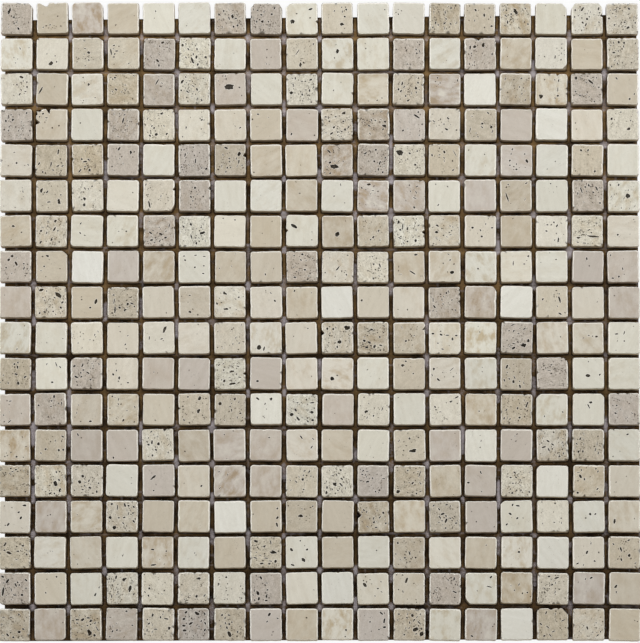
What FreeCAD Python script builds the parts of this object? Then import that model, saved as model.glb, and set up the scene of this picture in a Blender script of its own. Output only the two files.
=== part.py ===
"""A mosaic sheet of small tumbled travertine tiles, glued on a glass-fibre net.

Millimetres, +Z up, +Y towards the sheet's north edge. The origin is on the
underside of the net, below the middle of the tile field.
"""
import FreeCAD, Part
import math
import os
import random

from FreeCAD import Vector

# The tile field
TILES_ACROSS = 18
TILES_DOWN = 18
TILE_SIDE = 15.0
TILE_THICKNESS = 9.0
JOINT_WIDTH = 1.94

# What the tumbler takes off a sawn tile
SIDE_LOSS = 0.30
THICKNESS_LOSS = 0.30
ARRIS_WEAR = 0.60
ARRIS_DROP = 0.60
CORNER_WEAR = 0.85
WEAR_SPREAD = 0.28

# How far a tile strays in its place, as shares of the joint
SHIFT_SHARE = 0.12
TURN_SHARE = 0.10

# The backing, which was laid a little low and a little turned, and cut off slanting at its
# north end, so that it reaches further north in the east
FILM_THICKNESS = 0.40
MARGIN_NORTH = 6.0
MARGIN_SOUTH = 0.33
MARGIN_EAST = 0.1
MARGIN_WEST = 2.2
BACKING_TURN = 0.19
NORTH_CUT_SLANT = 0.33

# The net's yarns
YARN_WIDTH = 0.80
YARN_THICKNESS = 0.25
YARN_PITCH = 5.0

# The sides of the X and Y axes on which a tile's corners lie
CORNERS = {
    "south_west": (-1, -1),
    "south_east": (1, -1),
    "north_east": (1, 1),
    "north_west": (-1, 1),
}

# The corners that are worn or broken far more than the rest, by the tile's row from the
# north and column from the west. Each has its legs along the side that runs east, along
# the side that runs north and down the upright edge. A long leg down leaves a rounded
# corner all the way to the foot, and a short one a chip.
BROKEN_CORNERS = {
    (0, 0): [("north_east", 1.9, 2.2, 40)],
    (0, 2): [("north_west", 1.6, 1.8, 40), ("north_east", 1.8, 2.0, 40)],
    (0, 7): [("north_west", 1.8, 2.4, 40), ("north_east", 1.7, 2.6, 40)],
    (0, 8): [("north_west", 2.6, 2.2, 40)],
    (0, 15): [("north_east", 2.4, 2.8, 40)],
    (0, 16): [("north_west", 1.8, 2.9, 40), ("north_east", 1.9, 2.6, 40)],
    (1, 2): [("north_east", 2.6, 1.7, 12)],
    (1, 15): [("south_east", 2.3, 2.6, 5)],
    (3, 1): [("north_west", 5.6, 5.8, 4)],
    (5, 4): [("south_east", 1.9, 3.0, 40)],
    (7, 1): [("north_east", 2.4, 2.2, 30)],
    (8, 13): [("north_east", 1.9, 2.4, 40)],
    (10, 2): [("north_west", 2.2, 1.9, 9)],
    (10, 15): [("north_west", 1.9, 1.7, 30), ("north_east", 2.6, 2.4, 40)],
    (11, 15): [("north_west", 2.3, 2.2, 40)],
    (11, 16): [("north_east", 1.9, 1.8, 40)],
    (13, 15): [("north_west", 1.9, 1.9, 40)],
    (14, 14): [("north_west", 2.0, 1.8, 40)],
    (16, 13): [("south_west", 2.3, 2.9, 40)],
    (17, 15): [("north_west", 1.6, 1.8, 40), ("north_east", 3.1, 3.4, 40)],
}

PITCH = TILE_SIDE + JOINT_WIDTH
FIELD_WIDTH = TILES_ACROSS * PITCH - JOINT_WIDTH
FIELD_LENGTH = TILES_DOWN * PITCH - JOINT_WIDTH
BACKING_WIDTH = FIELD_WIDTH - MARGIN_WEST - MARGIN_EAST
BACKING_LENGTH = FIELD_LENGTH - MARGIN_NORTH - MARGIN_SOUTH
FILM_FOOT = 2 * YARN_THICKNESS
TILE_FOOT = FILM_FOOT + FILM_THICKNESS
UP = Vector(0, 0, 1)


def worn(draw, mean):
    """One worn size, somewhere about its mean."""
    return mean * (1 + WEAR_SPREAD * draw.uniform(-1, 1))


def face_through(points):
    return Part.Face(Part.makePolygon(points + points[:1]))


def at_height(outline, height):
    return [Vector(x, y, height) for x, y in outline]


def worn_block(draw, width, length, height):
    """A sawn block about its own foot, with its corners and upper arrises worn off.

    The foot and the ledge are octagons. The crown is a rectangle, and at each
    of its corners a triangular facet falls to the octagon's short side.
    """
    west = -width / 2
    east = width / 2
    south = -length / 2
    north = length / 2
    cut = [worn(draw, CORNER_WEAR) for _ in range(8)]
    wear = [worn(draw, ARRIS_WEAR) for _ in range(4)]
    octagon = [
        (west, south + cut[0]),
        (west + cut[1], south),
        (east - cut[2], south),
        (east, south + cut[3]),
        (east, north - cut[4]),
        (east - cut[5], north),
        (west + cut[6], north),
        (west, north - cut[7]),
    ]
    rectangle = [
        (west + wear[3], south + wear[0]),
        (east - wear[1], south + wear[0]),
        (east - wear[1], north - wear[2]),
        (west + wear[3], north - wear[2]),
    ]
    foot = at_height(octagon, 0)
    ledge = at_height(octagon, height - worn(draw, ARRIS_DROP))
    crown = at_height(rectangle, height)
    faces = [face_through(foot), face_through(crown)]
    for i in range(8):
        j = (i + 1) % 8
        faces.append(face_through([foot[i], foot[j], ledge[j], ledge[i]]))
    for i in range(4):
        j = (i + 1) % 4
        facet_start = 2 * i
        facet_end = 2 * i + 1
        next_facet = (2 * i + 2) % 8
        faces.append(face_through([ledge[facet_start], ledge[facet_end], crown[i]]))
        faces.append(face_through([ledge[facet_end], ledge[next_facet], crown[j], crown[i]]))
    return Part.Solid(Part.Shell(faces))


def broken_off(block, width, length, height, corner, east_leg, north_leg, down_leg):
    """The block without one upper corner, which has gone along a slanted plane."""
    x_side, y_side = CORNERS[corner]
    tip = Vector(x_side * width / 2, y_side * length / 2, height)
    split = face_through([
        tip - Vector(x_side * east_leg, 0, 0),
        tip - Vector(0, y_side * north_leg, 0),
        tip - Vector(0, 0, down_leg),
    ])
    return block.cut(split.makeHalfSpace(tip))


def tile(row, column):
    """The tile in a row counted from the north and a column counted from the west."""
    draw = random.Random("tile %d %d" % (row, column))
    width = TILE_SIDE - SIDE_LOSS * draw.random()
    length = TILE_SIDE - SIDE_LOSS * draw.random()
    height = TILE_THICKNESS - THICKNESS_LOSS * draw.random()
    solid = worn_block(draw, width, length, height)
    for broken in BROKEN_CORNERS.get((row, column), []):
        solid = broken_off(solid, width, length, height, *broken)
    stray = SHIFT_SHARE * JOINT_WIDTH
    tip = TURN_SHARE * JOINT_WIDTH * draw.uniform(-1, 1)
    turn = math.degrees(math.atan2(tip, TILE_SIDE / 2))
    x = (TILE_SIDE - FIELD_WIDTH) / 2 + column * PITCH + stray * draw.uniform(-1, 1)
    y = (FIELD_LENGTH - TILE_SIDE) / 2 - row * PITCH + stray * draw.uniform(-1, 1)
    solid.rotate(Vector(), UP, turn)
    solid.translate(Vector(x, y, TILE_FOOT))
    return solid


def on_backing(solid):
    """A piece of the backing, moved from the backing's own south-west corner to its place."""
    solid.translate(Vector(-BACKING_WIDTH / 2, -BACKING_LENGTH / 2, 0))
    solid.rotate(Vector(), UP, BACKING_TURN)
    solid.translate(Vector((MARGIN_WEST - MARGIN_EAST) / 2, (MARGIN_SOUTH - MARGIN_NORTH) / 2, 0))
    return solid


def north_cut(x):
    """Where the slanted cut ends the backing, at a place along it from its west edge."""
    return BACKING_LENGTH + (x - BACKING_WIDTH / 2) * math.tan(math.radians(NORTH_CUT_SLANT))


def strip(west, east, foot, height):
    """A flat strip of the backing, from its south edge to the slanted north cut."""
    outline = [(west, 0), (east, 0), (east, north_cut(east)), (west, north_cut(west))]
    return on_backing(face_through(at_height(outline, foot)).extrude(Vector(0, 0, height)))


def yarn_places(extent):
    """Where the yarns start across an extent, from one edge to the other at about the net's pitch."""
    gaps = round((extent - YARN_WIDTH) / YARN_PITCH)
    return [i * (extent - YARN_WIDTH) / gaps for i in range(gaps + 1)]


def glue_film():
    return strip(0, BACKING_WIDTH, FILM_FOOT, FILM_THICKNESS)


def warp_yarns():
    """The yarns that run north, under the weft."""
    yarns = []
    for x in yarn_places(BACKING_WIDTH):
        yarns.append(strip(x, x + YARN_WIDTH, 0, YARN_THICKNESS))
    return Part.makeCompound(yarns)


def weft_yarns():
    """The yarns that run east, on the warp and under the film. All are whole: the cut leaves out the rest."""
    yarns = []
    for y in yarn_places(north_cut(0)):
        yarn = Part.makeBox(BACKING_WIDTH, YARN_WIDTH, YARN_THICKNESS, Vector(0, y, YARN_THICKNESS))
        yarns.append(on_backing(yarn))
    return Part.makeCompound(yarns)


def export(shape, node):
    shape.exportStep("parts/" + node + ".step")


os.makedirs("parts", exist_ok=True)
export(glue_film(), "glue_film")
export(warp_yarns(), "net_warp_yarns")
export(weft_yarns(), "net_weft_yarns")
for row in range(TILES_DOWN):
    tiles = [tile(row, column) for column in range(TILES_ACROSS)]
    export(Part.makeCompound(tiles), "tile_row_%02d" % (row + 1))
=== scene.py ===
"""A mosaic sheet of small tumbled travertine tiles, glued on a glass-fibre net.

The frame is in metres, +Z up and +Y towards the sheet's north edge. The modelling
functions work in millimetres, and each mesh is scaled once, when it is made.
"""

import math

import bpy
import numpy as np
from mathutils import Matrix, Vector, noise
from mathutils.geometry import delaunay_2d_cdt


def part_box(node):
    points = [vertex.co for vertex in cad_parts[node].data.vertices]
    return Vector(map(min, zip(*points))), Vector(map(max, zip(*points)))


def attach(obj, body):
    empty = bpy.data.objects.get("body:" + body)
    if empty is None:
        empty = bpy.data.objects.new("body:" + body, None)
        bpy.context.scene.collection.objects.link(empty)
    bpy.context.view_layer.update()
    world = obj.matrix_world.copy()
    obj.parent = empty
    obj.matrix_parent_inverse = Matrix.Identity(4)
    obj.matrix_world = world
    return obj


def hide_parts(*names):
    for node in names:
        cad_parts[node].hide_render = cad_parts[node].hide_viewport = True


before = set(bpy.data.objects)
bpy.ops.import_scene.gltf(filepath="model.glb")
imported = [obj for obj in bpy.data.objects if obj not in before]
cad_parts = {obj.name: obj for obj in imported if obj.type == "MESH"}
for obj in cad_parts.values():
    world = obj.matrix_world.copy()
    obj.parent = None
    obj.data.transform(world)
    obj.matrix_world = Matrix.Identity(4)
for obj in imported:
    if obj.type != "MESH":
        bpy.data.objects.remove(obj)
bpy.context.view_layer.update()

MM = 0.001
SEED = 1840

# How alike the normals and the offsets of a solid's facets are where they make one face
SAME_NORMAL = 0.9999
SAME_OFFSET = 0.05

# A facet is upright where its normal rises less than the one, and slants where it has more than
# the other of both plan directions
UPRIGHT_RISE = 0.1
SLANTING_SHARE = 0.3

# A tile's outline: its stops, which crowd towards the corners, how softly the sides meet there,
# and how far the outline swells to make up for that
TILE_SIDE = 15.0
OUTLINE_LENGTH = 4 * TILE_SIDE
STOPS_PER_SIDE = 20
CORNER_CROWDING = 0.4
CORNER_SOFTNESS = 0.14
TILE_SWELL = 0.07
LEAST_FACING = 0.05

# The softened outline gets back a share of what the planes of the lightly worn corners cut off,
# and a crumbled tile a share of what its slanting facets cut off
CORNER_KEPT = 0.40
CORNER_CUT_LIMIT = 0.9
CRUMBLED_TILES = {(3, 1)}
CRUMBLED_KEPT = 0.55

# The rounding of the upper arrises, and the rings below it
ARRIS_DROP = 0.62
ARRIS_ANGLES = (0, 32, 62, 90)
SIDE_DEPTHS = (2.4, 5.4)

# How worn each ring is, from the face down, with a painted highlight on the upper arris, and how little of that
# shows on sides that face south
RING_WEAR_AND_HIGHLIGHT = (0.40, 1.0, 0.8, 0.0, 0.0, 0.0, 0.0)
SOUTH_HIGHLIGHT_LOSS = 0.85
SOUTH_FACING = (0.62, 0.74)

# How the tumbler wavers a tile's edges and sides: how far, and in how many waves round it
EDGE_WAVER = (0.045, 2, 16)
RING_WAVER = (0.030, 8, 26)

# Bites along the outline: the stops across each, and the clear room beside them, in its widths
BITE_STOPS = np.linspace(-0.55, 0.55, 9)
BITE_ROOM = 0.62
# How much dirt and painted shade darken a bite
BITE_DIRT_AND_SHADE = 0.35

# Chips and open pores on the upper edge: how many there are on a dense tile and how many more on a
# porous one, the ranges of their width, their depth and how far down they reach, and their dirt and painted shade
CHIP_KINDS = (
    (5, 4, (0.8, 2.4), (0.08, 0.30), (0.4, 1.6), 0),
    (0, 3.5, (0.9, 1.7), (0.3, 0.8), (0.8, 3.5), 0.9),
)

# Random pits: how many there are at least, how many more with the porosity and from which
# porosity on, their mean length, and how slender they are
PIT_KINDS = (
    (0.0, 1.6, 0.0, 2.20, 2.0),
    (0.0, 12.0, 0.02, 1.22, 1.7),
    (0.8, 34.0, 0.0, 0.73, 1.0),
)
PIT_LENGTH_SPREAD = 0.25
PIT_TURN_SPREAD = 0.5
LEAST_WIDTH = 0.35
PIT_ROOM = 0.05
RAGGED = (0.4, 0.95)
SIGNATURE_RAGGED = (0.2, 0.5)

# A pit's depth as a share of its width and within limits, and its floor as a share of its rim.
# Pits from a certain length on have a throat between the two, darkened with dirt and painted shade.
DEPTH_SHARE = (1.1, 1.7)
DEPTH_LIMITS = (0.5, 2.6)
FLOOR_SHARE = (0.62, 0.76)
THROAT_LENGTH = 1.1
THROAT_SHARE = 0.90
THROAT_DIRT_AND_SHADE = 0.95

# Pits from a certain length on have a pale rim. Dirt and painted shade start at the rim of every pit.
RIMMED_LENGTH = 0.9
RIM_WIDTH = 0.24
RIM_WEAR = 0.75
RIM_DIRT_AND_SHADE = 0.75

# Pits from a certain mean length on have smaller ones beside them
COMPANY_LENGTH = 2.0
COMPANY_MEAN = 1.6
COMPANY_PLACE = (0.45, 0.85)
COMPANY_SIZE = (0.7, 1.5)
COMPANY_SHAPE = (0.4, 0.9)
COMPANY_LEAST_WIDTH = 0.40
COMPANY_RAGGED = (0.4, 0.9)

# Most pits lie in nests, which spread along and across the stone's bands. The rest and the
# nests' middles lie within these distances of a tile's middle.
NESTED_SHARE = 0.72
NEST_LENGTH = 2.6
NEST_WIDTH = 1.0
NEST_REACH = 6.0
PIT_REACH = 7.2

# How close points may come before the triangulation of a face joins them
JOINING_GAP = 1e-5

# The glue film: how far it sags, its lumps and how fine they are, and how it rises beside a tile
FILM_SAG = 0.02
FILM_LUMPS = 0.10
FILM_LUMP_SCALE = 0.55
MENISCUS_RISE = 0.50
MENISCUS_REACH = 0.28
MENISCUS_UNEVENNESS = 0.7
MENISCUS_SCALE = 0.23

# The film's grid: which edge of a joint each line follows, the one before it, the middle or the
# one after it, and how far from it. The run of lines under the tiles is even.
UNDER_TILE = 0.25
STRIP = ((0, -UNDER_TILE), (0, 0.0), (0, 0.30), (1, 0.0), (2, -0.30), (2, 0.0), (2, UNDER_TILE))
RUN_STEP = 1.5
# How far to each side of a tile's middle its edge is read, and how near its middle the film's
# points are measured against it, as shares of its side
READING_SHARE = 0.4
NEAR_SHARE = 0.75

# Patches where the film is so thin that the net shows: how often one lies at a crossing of two
# joints and how often between two crossings, and how far it reaches along a joint on average
BARE_CROSSINGS = 0.50
BARE_STRETCHES = 0.17
BARE_REACH_NORTH = 1.6
BARE_REACH_SOUTH = 2.4
BARE_LEAST_REACH = 0.4
BARE_HALF_WIDTHS = (0.9, 1.6)
BARE_STRENGTHS = (0.3, 1.0)
BARE_FADE = 0.8
STRETCH_MARGIN = 3
STRETCH_REACH = (1.0, 4.5)
STRETCH_HALF_WIDTH = 1.1
STRETCH_STRENGTHS = (0.25, 0.75)

# The net: its flat weft, and the two strands of each warp yarn, which swing to the sides, pass
# each other between two weft yarns and clasp each of them
YARN_WIDTH = 0.80
YARN_DRIFT = 0.05
DRIFT_WAVES = 6
DRIFT_EVENNESS = 2.5
WEFT_HALF_WIDTH = YARN_WIDTH / 2 - 0.03
WEFT_HALF_HEIGHT = 0.08
WEFT_SIDES = 6
STRAND_SIDES = 4
STRAND_HALF_WIDTH = 0.17
STRAND_HALF_HEIGHT = 0.075
STRAND_SWING = 0.20
STRAND_CLASP = 0.155
STRAND_PASS = 0.080

# The floor, just below the net
FLOOR_HALF = 4.0
FLOOR_DROP = 0.0002
FLOOR_WHITENESS = 0.9

# The camera and the lamps, in metres, degrees and watts
SENSOR_WIDTH = 36.0
FRAME_HEIGHT = 0.3043
CAMERA_DISTANCE = 3.3
CAMERA_ELEVATION = 84.8
CAMERA_TARGET = (0.0002, -0.00076, 0.0099)
WORLD_STRENGTH = 0.190
# The lamps: place, size, power and the place that they face
SOFTBOXES = {
    "south_softbox": ((0.0, -0.75, 3.3), (1.2, 1.4), 54.0, (0.0, 0.0, 0.0)),
    "north_softbox": ((0.0, 0.16, 0.50), (0.9, 0.12), 1.75, (0.0, 0.16, 0.0)),
}

# Sides of a tile, in the order in which its outline runs
SIDE_ORDER = ("south", "east", "north", "west")

# Bites out of the tiles' edges, by row from the north and column from the west: the side,
# the place along it as a share from the west or north end, then width, depth and how far down
EDGE_BITES = {
    (0, 1): [("north", 0.24, 4.6, 1.9, 40), ("north", 0.62, 2.0, 0.5, 40)],
    (0, 8): [("east", 0.60, 1.6, 0.9, 9)],
    (0, 16): [("east", 0.40, 1.8, 1.0, 40)],
    (1, 13): [("north", 0.45, 1.9, 1.1, 30)],
    (2, 15): [("north", 0.70, 1.8, 0.9, 20)],
    (3, 1): [("north", 0.38, 2.0, 2.2, 12), ("north", 0.05, 3.4, 1.3, 40),
             ("west", 0.42, 2.6, 1.9, 14), ("west", 0.14, 2.2, 0.7, 40)],
    (4, 6): [("east", 0.33, 2.6, 1.3, 40)],
    (5, 4): [("east", 0.30, 1.5, 0.9, 20)],
    (5, 5): [("east", 0.25, 1.7, 1.0, 30)],
    (6, 8): [("west", 0.50, 1.6, 0.8, 40)],
    (6, 11): [("east", 0.55, 1.9, 1.1, 40)],
    (9, 9): [("west", 0.33, 2.5, 1.2, 40)],
    (9, 11): [("east", 0.20, 1.3, 1.4, 10)],
    (10, 6): [("east", 0.50, 1.4, 1.2, 20)],
    (12, 4): [("north", 0.75, 1.8, 1.1, 30)],
    (14, 10): [("west", 0.42, 3.4, 1.6, 40)],
    (17, 15): [("north", 0.45, 2.6, 0.7, 40)],
}


# Reading the solids of the frame

def solids_of(node_name, axis):
    """A node's separate solids in order along an axis, each as a list of its polygons' corners in mm."""
    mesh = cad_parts[node_name].data
    polygons = []
    for polygon in mesh.polygons:
        corners = np.array([mesh.vertices[i].co for i in polygon.vertices]) / MM
        polygons.append((corners[:, axis].min(), corners[:, axis].max(), corners))
    polygons.sort(key=lambda entry: entry[0])
    solids = []
    reach = -math.inf
    for low, high, corners in polygons:
        if low > reach:
            solids.append([])
        reach = max(reach, high)
        solids[-1].append(corners)
    return solids


def planes_of(polygons):
    """The outward unit normals and the offsets of a convex solid's faces."""
    planes = []
    for corners in polygons:
        normal = np.cross(corners[1] - corners[0], corners[2] - corners[0])
        normal /= np.linalg.norm(normal)
        offset = normal @ corners[0]
        if not any(normal @ other[:3] > SAME_NORMAL and abs(offset - other[3]) < SAME_OFFSET for other in planes):
            planes.append(np.array([*normal, offset]))
    return np.array(planes)


def turned_axes(angle):
    """The east and north axes turned by an angle, as columns. Plan points times them are turned back."""
    cosine = math.cos(angle)
    sine = math.sin(angle)
    return np.array([[cosine, -sine], [sine, cosine]])


# Tiles

class Tile:
    """One tile of the frame: its place, turn and height, and its faces' planes about its own middle."""

    def __init__(self, row, column, polygons):
        self.place = (row, column)
        self.draw = np.random.default_rng([SEED, row, column])
        planes = planes_of(polygons)
        east = max(planes, key=lambda plane: plane[0])
        self.to_frame = turned_axes(math.atan2(east[1], east[0]))
        self.normals = np.column_stack([planes[:, :2] @ self.to_frame, planes[:, 2]])
        offsets = planes[:, 3]
        reach = {}
        for side, direction in (("east", (1, 0)), ("north", (0, 1)), ("west", (-1, 0)), ("south", (0, -1))):
            reach[side] = offsets[np.argmax(self.normals[:, :2] @ direction)]
        middle = np.array([reach["east"] - reach["west"], reach["north"] - reach["south"]]) / 2
        self.offsets = offsets - self.normals[:, :2] @ middle
        self.middle = self.to_frame @ middle
        half = np.array([reach["east"] + reach["west"], reach["north"] + reach["south"]]) / 2
        cut = np.abs(self.normals[:, :2]) @ half - self.offsets
        upright = np.abs(self.normals[:, 2]) < UPRIGHT_RISE
        slanting = np.abs(self.normals[:, :2]).min(axis=1) > SLANTING_SHARE
        worn = upright & slanting & (cut < CORNER_CUT_LIMIT)
        self.offsets[worn] += CORNER_KEPT * cut[worn]
        heights = np.concatenate(polygons)[:, 2]
        self.foot = heights.min()
        self.top = heights.max()
        if self.place in CRUMBLED_TILES:
            facets = ~upright & slanting
            missing = cut[facets] + self.normals[facets, 2] * self.top
            self.offsets[facets] += CRUMBLED_KEPT * missing

    def radii(self, directions, depth):
        """How far the solid reaches in each direction at a depth below its top, with softened corners."""
        height = self.top - depth
        facing = self.normals[:, :2] @ directions.T
        room = (self.offsets - self.normals[:, 2] * height)[:, None]
        reach = np.where(facing > LEAST_FACING, room / np.maximum(facing, LEAST_FACING), np.inf)
        return TILE_SWELL - CORNER_SOFTNESS * np.log(np.exp(-reach / CORNER_SOFTNESS).sum(axis=0))

    def placed(self, points):
        """Points from the tile's own plan axes to the frame's."""
        return points @ self.to_frame.T + self.middle


def along_outline(side, share):
    """Where a share of a side, from its west or north end, comes in millimetres along the outline."""
    order = SIDE_ORDER.index(side)
    forward = share if side in ("south", "west") else 1 - share
    return TILE_SIDE * (order + forward)


def outline_stops(bites):
    """Places along the outline, closer near the corners and at each bite."""
    t = (np.arange(STOPS_PER_SIDE) + 0.5) / STOPS_PER_SIDE * 2 - 1
    crowded = t + CORNER_CROWDING * (t - t ** 3) / 2
    side = (crowded + 1) / 2 * TILE_SIDE
    stops = np.concatenate([side + TILE_SIDE * order for order in range(4)])
    for name, share, width, depth, down in bites:
        centre = along_outline(name, share)
        stops = stops[np.abs(stops - centre) > BITE_ROOM * width]
        stops = np.concatenate([stops, centre + BITE_STOPS * width])
    return np.sort(stops % OUTLINE_LENGTH)


def stop_directions(stops):
    """Unit vectors from a tile's middle to places along its nominal square outline."""
    order = (stops // TILE_SIDE).astype(int)
    along = stops % TILE_SIDE - TILE_SIDE / 2
    half = np.full_like(along, TILE_SIDE / 2)
    x = np.choose(order, [along, half, -along, -half])
    y = np.choose(order, [-half, along, half, -along])
    points = np.column_stack([x, y])
    return points / np.linalg.norm(points, axis=1)[:, None]


def waver(draw, stops, size, slowest, fastest):
    """A smooth closed wave along the outline."""
    total = np.zeros_like(stops)
    for count in range(slowest, fastest):
        phase = draw.uniform(0, 2 * math.pi)
        total += draw.normal() * np.sin(2 * math.pi * count * stops / OUTLINE_LENGTH + phase)
    return size * total / math.sqrt(fastest - slowest)


def dent(stops, centre, width):
    """A rounded hollow about a place along the outline, from 0 beside it to 1 at its middle."""
    gap = np.abs(stops - centre)
    gap = np.minimum(gap, OUTLINE_LENGTH - gap)
    return np.clip(1 - (2 * gap / width) ** 2, 0, 1)


def arris_chips(draw, porosity):
    """Small chips and open pores on the upper edge: place, width, depth, how far down, and how much dirt and painted
    shade.
    """
    chips = []
    for least, growth, widths, depths, reaches, dirt in CHIP_KINDS:
        for _ in range(draw.poisson(least + growth * porosity)):
            place = draw.uniform(0, OUTLINE_LENGTH)
            chips.append((place, draw.uniform(*widths), draw.uniform(*depths), draw.uniform(*reaches), dirt))
    return chips


# Tiles that stand out, by row from the north and column from the west
WHITE_TILES = {(2, 13), (3, 15), (7, 2), (8, 9), (8, 14), (14, 6), (13, 15), (15, 15), (16, 9), (17, 14)}
PALE_TILES = {
    (0, 5), (0, 8), (0, 10), (0, 15), (1, 6), (1, 9), (1, 10), (1, 12), (2, 7), (2, 9), (3, 2), (4, 4), (4, 13),
    (4, 15), (4, 17), (5, 6), (5, 7), (5, 9), (5, 12), (5, 15), (6, 2), (6, 3), (6, 8), (7, 5), (7, 13), (7, 15),
    (9, 0), (9, 1), (9, 17), (10, 6), (10, 10), (10, 13), (10, 16), (10, 17), (11, 8), (11, 11), (11, 15), (11, 16),
    (12, 10), (12, 17), (13, 3), (14, 14), (14, 16), (15, 3), (15, 5), (15, 10), (16, 2), (16, 13), (17, 12),
}
TAN_TILES = {
    (0, 1), (0, 3), (0, 12), (0, 13), (1, 14), (1, 16), (2, 1), (2, 3), (3, 1), (3, 7), (3, 13), (4, 1), (4, 2),
    (4, 7), (4, 12), (4, 16), (5, 8), (6, 0), (6, 7), (6, 10), (7, 1), (7, 4), (7, 6), (7, 11), (8, 2), (8, 8),
    (9, 11), (10, 0), (10, 11), (11, 13), (12, 1), (13, 0), (13, 11), (13, 12), (13, 16), (14, 7), (14, 8),
    (14, 9), (15, 6), (15, 9), (15, 17), (16, 14), (17, 2), (17, 8), (17, 15), (17, 17),
}
ROSY_TILES = {
    (0, 0), (0, 6), (0, 7), (1, 4), (1, 13), (2, 4), (2, 6), (2, 12), (2, 16), (3, 0), (3, 3), (3, 8), (3, 10),
    (3, 14), (4, 3), (4, 5), (4, 10), (5, 5), (5, 13), (5, 16), (6, 4), (7, 0), (7, 3), (7, 8), (7, 16), (8, 12),
    (8, 13), (8, 17), (9, 14), (10, 2), (10, 4), (10, 5), (10, 7), (10, 15), (11, 0), (11, 9), (11, 17), (12, 2),
    (12, 3), (12, 7), (12, 12), (13, 4), (13, 7), (13, 10), (13, 13), (14, 1), (14, 13), (16, 0), (16, 7),
    (12, 14), (16, 12), (16, 16), (17, 1), (17, 3), (17, 5), (17, 10), (17, 13),
}
CLOUDED_TILES = {(0, 2), (0, 14), (2, 12), (2, 15), (4, 9), (5, 10), (9, 13), (12, 0), (13, 6), (15, 4), (17, 9)}
PITTED_TILES = {
    (0, 7), (1, 4), (1, 5), (1, 13), (2, 8), (2, 16), (3, 0), (3, 3), (3, 4), (3, 9), (4, 1), (4, 10), (5, 16),
    (6, 1), (6, 4), (6, 11), (7, 8), (8, 1), (9, 14), (10, 2), (10, 6), (11, 8), (11, 14), (12, 15), (13, 0),
    (14, 10), (14, 12), (15, 0), (16, 0), (16, 15), (17, 5), (17, 6),
}
SMOOTH_TILES = {
    (0, 3), (0, 11), (1, 14), (1, 16), (2, 10), (3, 1), (3, 7), (3, 8), (3, 14), (3, 16), (4, 7), (4, 8), (5, 3),
    (5, 8), (5, 13), (6, 6), (6, 7), (6, 14), (7, 3), (7, 4), (7, 7), (8, 10), (8, 16), (9, 8), (9, 15), (10, 4),
    (10, 5), (10, 7), (10, 8), (10, 9), (11, 4), (11, 9), (11, 13), (12, 3), (12, 5), (12, 7), (12, 9), (12, 14),
    (13, 5), (13, 7), (13, 17), (14, 1), (14, 2), (14, 4), (14, 5), (14, 7), (14, 9), (14, 13), (15, 1), (15, 2),
    (14, 17), (15, 9), (15, 12), (15, 13), (15, 14), (16, 1), (16, 16), (17, 1), (17, 8), (17, 13),
}

# Their pores and clouds
PITTED_POROSITY = (1.0, 1.4)
SMOOTH_POROSITY = 0.03
CLOUDED_CLOUDS = 1.0
WHITE_CLOUDS = 0.05

# The tiles' tones as 8-bit display colours, first of the tiles that stand out and then of the
# rest, with how often each comes. Each tile strays a little from its tone in lightness and warmth.
TONE_SPREAD = 2.0
WARMTH_SPREAD = 1.0
WARM = np.array([0.5, 0.0, -1.0])
BRIGHTEST = 226
WHITE = (215, 213, 203)
PALE = (207, 204, 191)
TAN = (191, 181, 162)
ROSY = (187, 178, 167)
COMMON_TONES = (
    ((215, 212, 199), 0.06),
    ((210, 205, 191), 0.24),
    ((204, 197, 182), 0.24),
    ((198, 190, 173), 0.20),
    ((191, 182, 165), 0.13),
    ((189, 180, 169), 0.08),
    ((184, 174, 156), 0.05),
)

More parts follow.
